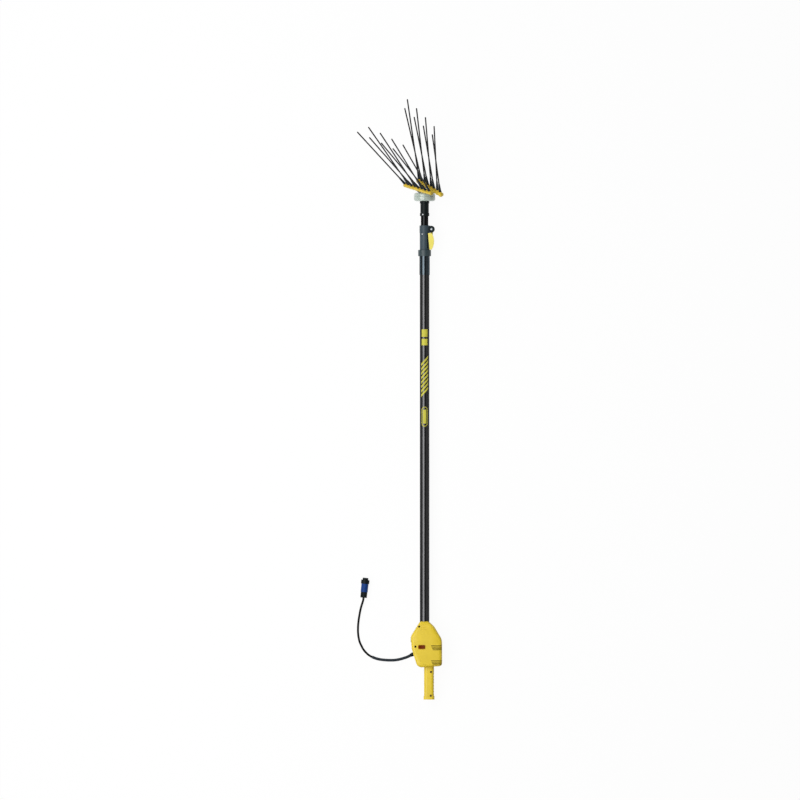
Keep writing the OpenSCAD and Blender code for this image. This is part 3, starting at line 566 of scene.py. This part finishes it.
@dataclass
class Studio:
    """Camera, floor and soft lamps.

    Attributes:
        pixel_mm: Size of a picture point at the pole.
        picture: Picture width in points.
        centre_x_mm: Place of the picture's middle along X.
        centre_y_mm: Place of the picture's middle along Y.
        camera_height: Height of the camera in metres.
        clip_heights: How far the camera sees, in camera heights.
        sensor_mm: Width of the camera's sensor.
        floor_half: Half width of the floor in metres.
        paper_colour: Colour of the floor's paper.
        white_share: Share of white in the paper that the camera and reflections see.
        lamps: A soft box on the left and a weak fill on the right.
        sky_strength: Strength of the dim white sky.
    """

    pixel_mm: float = 3.72
    picture: int = 800
    centre_x_mm: float = -91.5
    centre_y_mm: float = 925.8
    camera_height: float = 30.0
    clip_heights: float = 10.0
    sensor_mm: float = 36.0
    floor_half: float = 80.0
    paper_colour: str = "#F4F4F4"
    white_share: float = 0.955
    lamps: tuple[SoftBox, ...] = (
        SoftBox("soft_box_left", (-1.35, 0, 2.6), (2.1, 5.5), 130),
        SoftBox("fill_right", (2.6, 0, 1.8), (1.0, 4.0), 6),
    )
    sky_strength: float = 0.14

    def camera(self) -> bpy.types.Object:
        """Sets the camera straight above the tool.

        Returns:
            The camera.
        """
        data = bpy.data.cameras.new("camera_above")
        width = self.pixel_mm * MM * self.picture
        data.sensor_width = self.sensor_mm
        low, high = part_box("outer_tube")
        data.lens = self.sensor_mm * (self.camera_height - (low.z + high.z) / 2) / width
        data.clip_end = self.clip_heights * self.camera_height
        data.dof.use_dof = False
        camera = bpy.data.objects.new("camera_above", data)
        camera.location = (self.centre_x_mm * MM, self.centre_y_mm * MM, self.camera_height)
        bpy.context.scene.collection.objects.link(camera)
        bpy.context.scene.camera = camera
        return camera

    def paper(self) -> bpy.types.Material:
        """Makes the floor's paper, which the camera and reflections see as almost white.

        Returns:
            The material.
        """
        material = bpy.data.materials.new("floor_paper")
        material.use_nodes = True
        tree = material.node_tree
        tree.nodes.clear()
        rays = add_node(tree, "ShaderNodeLightPath")
        seen = add_node(
            tree, "ShaderNodeMath", None,
            {0: rays.outputs["Is Camera Ray"], 1: rays.outputs["Is Glossy Ray"]}, operation="MAXIMUM",
        )
        seen = add_node(
            tree, "ShaderNodeMath", None,
            {0: seen.outputs[0], 1: rays.outputs["Is Transmission Ray"]}, operation="MAXIMUM",
        )
        share = add_node(
            tree, "ShaderNodeMath", {1: self.white_share}, {0: seen.outputs[0]}, operation="MULTIPLY",
        )
        paper = add_node(tree, "ShaderNodeBsdfDiffuse", {"Color": linear(self.paper_colour)})
        white = add_node(tree, "ShaderNodeEmission", {"Color": WHITE, "Strength": 1.0})
        mixed = add_node(
            tree, "ShaderNodeMixShader", None,
            {0: share.outputs[0], 1: paper.outputs[0], 2: white.outputs[0]},
        )
        add_node(tree, "ShaderNodeOutputMaterial", None, {"Surface": mixed.outputs[0]})
        return material

    def floor(self) -> bpy.types.Object:
        """Lays the pale floor.

        Returns:
            The floor.
        """
        shape = bmesh.new()
        bmesh.ops.create_grid(shape, x_segments=1, y_segments=1, size=self.floor_half)
        mesh = bpy.data.meshes.new("floor")
        shape.to_mesh(mesh)
        shape.free()
        floor = bpy.data.objects.new("floor", mesh)
        bpy.context.scene.collection.objects.link(floor)
        mesh.materials.append(self.paper())
        return floor

    def light(self) -> None:
        """Hangs the lamps and sets a dim white sky."""
        middle = Vector((0, self.centre_y_mm * MM, 0))
        for lamp in self.lamps:
            lamp.hang(middle)
        world = bpy.data.worlds.new("studio_sky")
        world.use_nodes = True
        background = world.node_tree.nodes["Background"]
        background.inputs["Color"].default_value = WHITE
        background.inputs["Strength"].default_value = self.sky_strength
        bpy.context.scene.world = world

    def build(self) -> None:
        """Sets the floor, the light and the view settings."""
        self.floor()
        self.light()
        bpy.context.scene.view_settings.view_transform = "Standard"


@dataclass
class SupplyLead:
    """The lead from the gland to the plug, with its sleeve.

    Attributes:
        route_mm: Points listed one by one, the same as in the part's source, from the gland down to the
            floor
        and along it to the plug.
        sleeve_last: Index of the point where the sleeve ends.
        cable_d_mm: Diameter of the lead.
        sleeve_d_mm: Diameter of the sleeve.
        round_steps: Bevel resolution of the round section.
        run_steps: Steps along the tube between two points.
    """

    route_mm: tuple[tuple[float, float, float], ...] = (
        (-52.6, -24.3, 40), (-62, -29, 40), (-76, -34, 39.8), (-91, -38.5, 36), (-110, -42, 27),
        (-129, -43, 16.5), (-146, -42.5, 9.5), (-162, -41, 6), (-180, -37, 5.3), (-196, -31, 5.3),
        (-208, -24, 4.8), (-218, -15, 4.2), (-228, -3, 4), (-235, 10, 4), (-241, 23, 4), (-245, 38, 4),
        (-247.5, 56, 4), (-248, 74, 4), (-247, 92, 4), (-245, 110, 4.4), (-242, 128, 6), (-238.5, 146, 9),
        (-234.5, 161, 12.6), (-231, 172, 15), (-228.3, 181, 15.5), (-227.3, 190, 15.5),
    )
    sleeve_last: int = 9
    cable_d_mm: float = 8.0
    sleeve_d_mm: float = 10.5
    round_steps: int = 6
    run_steps: int = 8

    def curve(self, name: str, points: list[Vector], diameter_mm: float, finish: Finish) -> bpy.types.Object:
        """Draws one smooth round curve through points.

        Args:
            name: Piece name.
            points: Points in metres.
            diameter_mm: Diameter of the tube.
            finish: Surface finish.

        Returns:
            The curve object, riding on the power unit.
        """
        data = bpy.data.curves.new(name, "CURVE")
        data.dimensions = "3D"
        data.bevel_depth = diameter_mm / 2 * MM
        data.bevel_resolution = self.round_steps
        data.resolution_u = self.run_steps
        data.use_fill_caps = True
        spline = data.splines.new("BEZIER")
        spline.bezier_points.add(len(points) - 1)
        for knot, point in zip(spline.bezier_points, points):
            knot.co = point
            knot.handle_left_type = knot.handle_right_type = "AUTO"
        piece = bpy.data.objects.new(name, data)
        bpy.context.scene.collection.objects.link(piece)
        data.materials.append(finish.material())
        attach(piece, Body.POWER_UNIT.value)
        LOG.info("piece %s: curve of %d points on %s", name, len(points), Body.POWER_UNIT.value)
        return piece

    def build(self) -> bpy.types.Object:
        """Returns:
            The lead.
        """
        points = [Vector(p) * MM for p in self.route_mm]
        lead = self.curve("lead_sheath", points, self.cable_d_mm, Finishes.CABLE)
        covered = points[:self.sleeve_last + 1]
        sleeve = self.curve("lead_sleeve", covered, self.sleeve_d_mm, Finishes.CABLE_SLEEVE)
        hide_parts("power_cable")
        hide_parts("cable_sleeve")
        return lead


@dataclass
class PoleMarks:
    """Plain print on the front of the pole: two blocks, slanted strokes and a bar in a ring.

    Attributes:
        proud_mm: Thickness of the ink.
        blocks_mm: Middle along Y, width round the tube and length of the two blocks and the bar.
        stroke_mm: Width round the tube, length and rise of a slanted stroke.
        stroke_run_mm: Middles along Y of the first and the last stroke.
        strokes: Number of slanted strokes.
        ring_mm: Middle along Y, width round the tube, length and line of the ring.
        patch_cells: Cells of a flat patch across the pole and along it.
        bend_steps: Steps over each half turn of the ring.
        weld_mm: Points closer than this are merged.
        smooth_deg: Edges under this angle shade smooth.
    """

    proud_mm: float = 0.12
    blocks_mm: tuple[tuple[float, float, float], ...] = (
        (1174.6, 23, 28), (1141.2, 23, 24), (864, 12, 52),
    )
    stroke_mm: tuple[float, float, float] = (28, 9.5, 30)
    stroke_run_mm: tuple[float, float] = (956, 1071)
    strokes: int = 8
    ring_mm: tuple[float, float, float, float] = (864, 23, 74, 2.6)
    patch_cells: tuple[int, int] = (14, 2)
    bend_steps: int = 14
    weld_mm: float = 0.01
    smooth_deg: float = 30.0

    def patch(
        self, shape: bmesh.types.BMesh, middle_mm: float, width_mm: float, length_mm: float,
        rise_mm: float = 0.0,
    ) -> None:
        """Adds one flat patch of ink, sheared along the pole.

        Args:
            shape: Shape to add to.
            middle_mm: Middle of the patch along Y.
            width_mm: Width round the tube.
            length_mm: Length along the pole.
            rise_mm: How far its right edge lies above its left edge.
        """
        across, along = self.patch_cells
        made = bmesh.ops.create_grid(shape, x_segments=across, y_segments=along, size=0.5)["verts"]
        bmesh.ops.scale(shape, vec=(width_mm * MM, length_mm * MM, 1), verts=made)
        shear = Matrix(((1, 0, 0), (rise_mm / width_mm, 1, 0), (0, 0, 1)))
        bmesh.ops.transform(shape, matrix=shear.to_4x4(), verts=made)
        bmesh.ops.translate(shape, vec=(0, middle_mm * MM, 0), verts=made)

    def ring(self, shape: bmesh.types.BMesh) -> None:
        """Adds the flat ring: two straight sides, each run on round a half turn.

        Args:
            shape: Shape to add to.
        """
        middle, width, length, line = (value * MM for value in self.ring_mm)
        reach = (length - width) / 2
        line_ends = [shape.verts.new((width / 2 - inset, middle - reach, 0)) for inset in (0, line)]
        edge = shape.edges.new(line_ends)
        for way in (1, -1):
            side = bmesh.ops.extrude_edge_only(shape, edges=[edge])["geom"]
            verts = [part for part in side if isinstance(part, bmesh.types.BMVert)]
            bmesh.ops.translate(shape, vec=(0, 2 * way * reach, 0), verts=verts)
            edge = next(e for e in verts[0].link_edges if e.other_vert(verts[0]) is verts[1])
            bend = bmesh.ops.spin(
                shape, geom=[*verts, edge], cent=(0, middle + way * reach, 0), axis=(0, 0, 1), angle=math.pi,
                steps=self.bend_steps, use_duplicate=False,
            )
            edge = next(part for part in bend["geom_last"] if isinstance(part, bmesh.types.BMEdge))
        bmesh.ops.remove_doubles(shape, verts=shape.verts, dist=self.weld_mm * MM)

    def build(self) -> bpy.types.Object:
        """Draws the print flat, then bends it round the tube.

        Returns:
            The print.
        """
        shape = bmesh.new()
        for block_mm in self.blocks_mm:
            self.patch(shape, *block_mm)
        width, length, rise = self.stroke_mm
        first, last = self.stroke_run_mm
        for i in range(self.strokes):
            self.patch(shape, first + (last - first) * i / (self.strokes - 1), width, length, rise)
        self.ring(shape)
        shape.normal_update()
        bmesh.ops.reverse_faces(shape, faces=[face for face in shape.faces if face.normal.z < 0])
        low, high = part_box("outer_tube")
        radius = (high.x - low.x) / 2 + self.proud_mm * MM
        axis_z = (low.z + high.z) / 2
        for vert in shape.verts:
            angle = vert.co.x / radius
            vert.co = Vector((radius * math.sin(angle), vert.co.y, axis_z + radius * math.cos(angle)))
        bmesh.ops.solidify(shape, geom=shape.faces[:], thickness=self.proud_mm * MM)
        bmesh.ops.recalc_face_normals(shape, faces=shape.faces)
        smooth_by_angle(shape, self.smooth_deg)
        piece = link_mesh("pole_print", shape, Finishes.INK, Body.POWER_UNIT)
        return piece


def turned(profile_mm: list[tuple[float, float]], steps: int = 48) -> bmesh.types.BMesh:
    """Turns a closed profile about the Z axis.

    Args:
        profile_mm: Radius and height of each corner, in millimetres.
        steps: Steps round the axis.

    Returns:
        The turned shape.
    """
    shape = bmesh.new()
    corners = [shape.verts.new((r * MM, 0, z * MM)) for r, z in profile_mm]
    edges = [shape.edges.new((a, b)) for a, b in zip(corners, corners[1:] + corners[:1])]
    bmesh.ops.spin(
        shape, geom=corners + edges, cent=(0, 0, 0), axis=(0, 0, 1), angle=2 * math.pi, steps=steps,
        use_merge=True, use_duplicate=False,
    )
    bmesh.ops.remove_doubles(shape, verts=shape.verts, dist=TURN_WELD_MM * MM)
    bmesh.ops.recalc_face_normals(shape, faces=shape.faces)
    return shape


def block(size_mm: Vector, centre_mm: Vector, round_mm: float) -> bmesh.types.BMesh:
    """Makes a block with rounded edges.

    Args:
        size_mm: Width, length and height in millimetres.
        centre_mm: Middle of the block in millimetres.
        round_mm: Rounding of every edge.

    Returns:
        The block.
    """
    shape = bmesh.new()
    bmesh.ops.create_cube(shape, size=1)
    bmesh.ops.scale(shape, vec=size_mm * MM, verts=shape.verts)
    bmesh.ops.bevel(
        shape, geom=shape.edges[:], offset=round_mm * MM, segments=BLOCK_ROUND_STEPS, profile=0.5,
        affect="EDGES", material=-1,
    )
    bmesh.ops.translate(shape, vec=centre_mm * MM, verts=shape.verts)
    smooth_by_angle(shape, BLOCK_SMOOTH_DEG)
    return shape


@dataclass
class HousingTrim:
    """Small trim on the motor housing: dark plates behind the vents, which paint the shade in the slots, and
    clips on the seam.

    Attributes:
        shade_plate_mm: Width, length and thickness of a dark plate that paints the shade behind a vent.
        shade_plate_x_mm: Middle of the painted-shade plates along X.
        shade_plate_places_mm: Middle along Y of each painted-shade plate and how deep its face lies under
            the front.
        shade_plate_round_mm: Rounding of a painted-shade plate's edges.
        clips_mm: Place and size along X and Y of each seam clip.
        clip_height_mm: Height of a clip across the seam.
        clip_round_mm: Rounding of a clip's edges.
    """

    shade_plate_mm: tuple[float, float, float] = (33, 17.5, 1.6)
    shade_plate_x_mm: float = 39
    shade_plate_places_mm: tuple[tuple[float, float], ...] = ((5.2, 4.2), (-49.8, 4.6))
    shade_plate_round_mm: float = 0.5
    clips_mm: tuple[tuple[float, float, float, float], ...] = (
        (-50.5, 35, 2.4, 18), (-8.5, -67.2, 11, 2.4),
    )
    clip_height_mm: float = 9
    clip_round_mm: float = 0.8

    def build(self) -> None:
        """Builds the painted-shade plates behind the vents and the clips."""
        low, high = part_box("housing_front")
        # Dark plates behind the vent slots: their colour is painted shade inside the vents
        for name, (y, depth) in zip(("upper", "lower"), self.shade_plate_places_mm):
            level = high.z / MM - depth - self.shade_plate_mm[2] / 2
            middle = Vector((self.shade_plate_x_mm, y, level))
            shape = block(Vector(self.shade_plate_mm), middle, self.shade_plate_round_mm)
            piece = link_mesh(f"vent_painted_shade_{name}", shape, Finishes.VENT_PAINTED_SHADE, Body.POWER_UNIT)
        seam = low.z / MM
        for i, (x, y, width, length) in enumerate(self.clips_mm, 1):
            size = Vector((width, length, self.clip_height_mm))
            shape = block(size, Vector((x, y, seam)), self.clip_round_mm)
            piece = link_mesh(f"seam_clip_{i}", shape, Finishes.CHARCOAL, Body.POWER_UNIT)


@dataclass
class ClampTrim:
    """Black caps on the hinge ears and the screw of the clamp's band.

    Attributes:
        cap_r_mm: Outer radius of a cap.
        cap_bore_mm: Radius of the opening round the pin.
        cap_height_mm: Height of a cap.
        cap_edge_share: Share of a cap's height that its rounded edges take.
        cap_cut_share: Share of a rounded edge by which its middle corner lies inside.
        screw_place_mm: Place of the band screw along X and Y.
        screw_r_mm: Radius of its head.
        screw_height_mm: Height of its head.
        screw_sink_mm: How deep its head sits in the band.
        screw_steps: Steps round its head.
        dome_shares: Radius and height of each corner of its dome, as shares of the head's.
        smooth_deg: Edges under this angle shade smooth.
    """

    cap_r_mm: float = 12.4
    cap_bore_mm: float = 6.2
    cap_height_mm: float = 1.8
    cap_edge_share: float = 0.5
    cap_cut_share: float = 0.3
    screw_place_mm: tuple[float, float] = (-9, 1542.6)
    screw_r_mm: float = 2.2
    screw_height_mm: float = 1.4
    screw_sink_mm: float = 0.8
    screw_steps: int = 24
    dome_shares: tuple[tuple[float, float], ...] = ((1, 0.5), (0.85, 0.85), (0.5, 1))
    smooth_deg: float = 40.0

    def cap(self, name: str, base: Vector, faces_back: bool) -> bpy.types.Object:
        """Builds one cap on an ear.

        Args:
            name: Piece name.
            base: Middle of its seat in metres.
            faces_back: Whether it sits on the back ear.

        Returns:
            The cap.
        """
        r, bore, tall = self.cap_r_mm, self.cap_bore_mm, self.cap_height_mm
        edge = tall * self.cap_edge_share
        cut = edge * self.cap_cut_share
        shape = turned([
            (bore, 0), (r, 0), (r, tall - edge), (r - cut, tall - cut), (r - edge, tall),
            (bore + edge, tall), (bore + cut, tall - cut), (bore, tall - edge),
        ])
        if faces_back:
            half_turn = Matrix.Rotation(math.pi, 3, "X")
            bmesh.ops.rotate(shape, cent=(0, 0, 0), matrix=half_turn, verts=shape.verts)
        bmesh.ops.translate(shape, vec=base, verts=shape.verts)
        smooth_by_angle(shape, self.smooth_deg)
        piece = link_mesh(name, shape, Finishes.BLACK, Body.POWER_UNIT)
        return piece

    def band_screw(self) -> bpy.types.Object:
        """Builds the domed screw, square to the round of the band.

        Returns:
            The screw.
        """
        x, y = self.screw_place_mm
        low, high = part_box("clamp_body")
        radius = (high.z - low.z) / 2 / MM
        axis = (high.z + low.z) / 2 / MM
        seat = axis + math.sqrt(radius ** 2 - x ** 2) - self.screw_sink_mm
        r, tall = self.screw_r_mm, self.screw_height_mm
        dome = [(r * across, tall * up) for across, up in self.dome_shares]
        shape = turned([(0, 0), (r, 0), *dome, (0, tall)], self.screw_steps)
        lean = Matrix.Rotation(math.asin(x / radius), 3, "Y")
        bmesh.ops.rotate(shape, cent=(0, 0, 0), matrix=lean, verts=shape.verts)
        bmesh.ops.translate(shape, vec=Vector((x, y, seat)) * MM, verts=shape.verts)
        smooth_by_angle(shape, self.smooth_deg)
        piece = link_mesh("clamp_band_screw", shape, Finishes.ZINC, Body.POWER_UNIT)
        return piece

    def build(self) -> None:
        """Builds the two caps and the band screw."""
        low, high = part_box("clamp_pin")
        middle = (low + high) / 2
        self.cap("hinge_cap_front", Vector((middle.x, middle.y, high.z)), faces_back=False)
        self.cap("hinge_cap_back", Vector((middle.x, middle.y, low.z)), faces_back=True)
        self.band_screw()


def main() -> None:
    """Builds the studio, the lead and every dressed piece."""
    logging.basicConfig(level=logging.INFO, format="%(message)s")
    studio = Studio()
    studio.camera()
    SupplyLead().build()
    studio.build()
    for node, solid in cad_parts.items():
        dress(solid, finish_of(node))
    for skin in SKINS:
        skin.build()
    PoleMarks().build()
    HousingTrim().build()
    ClampTrim().build()


if __name__ == "__main__":
    main()
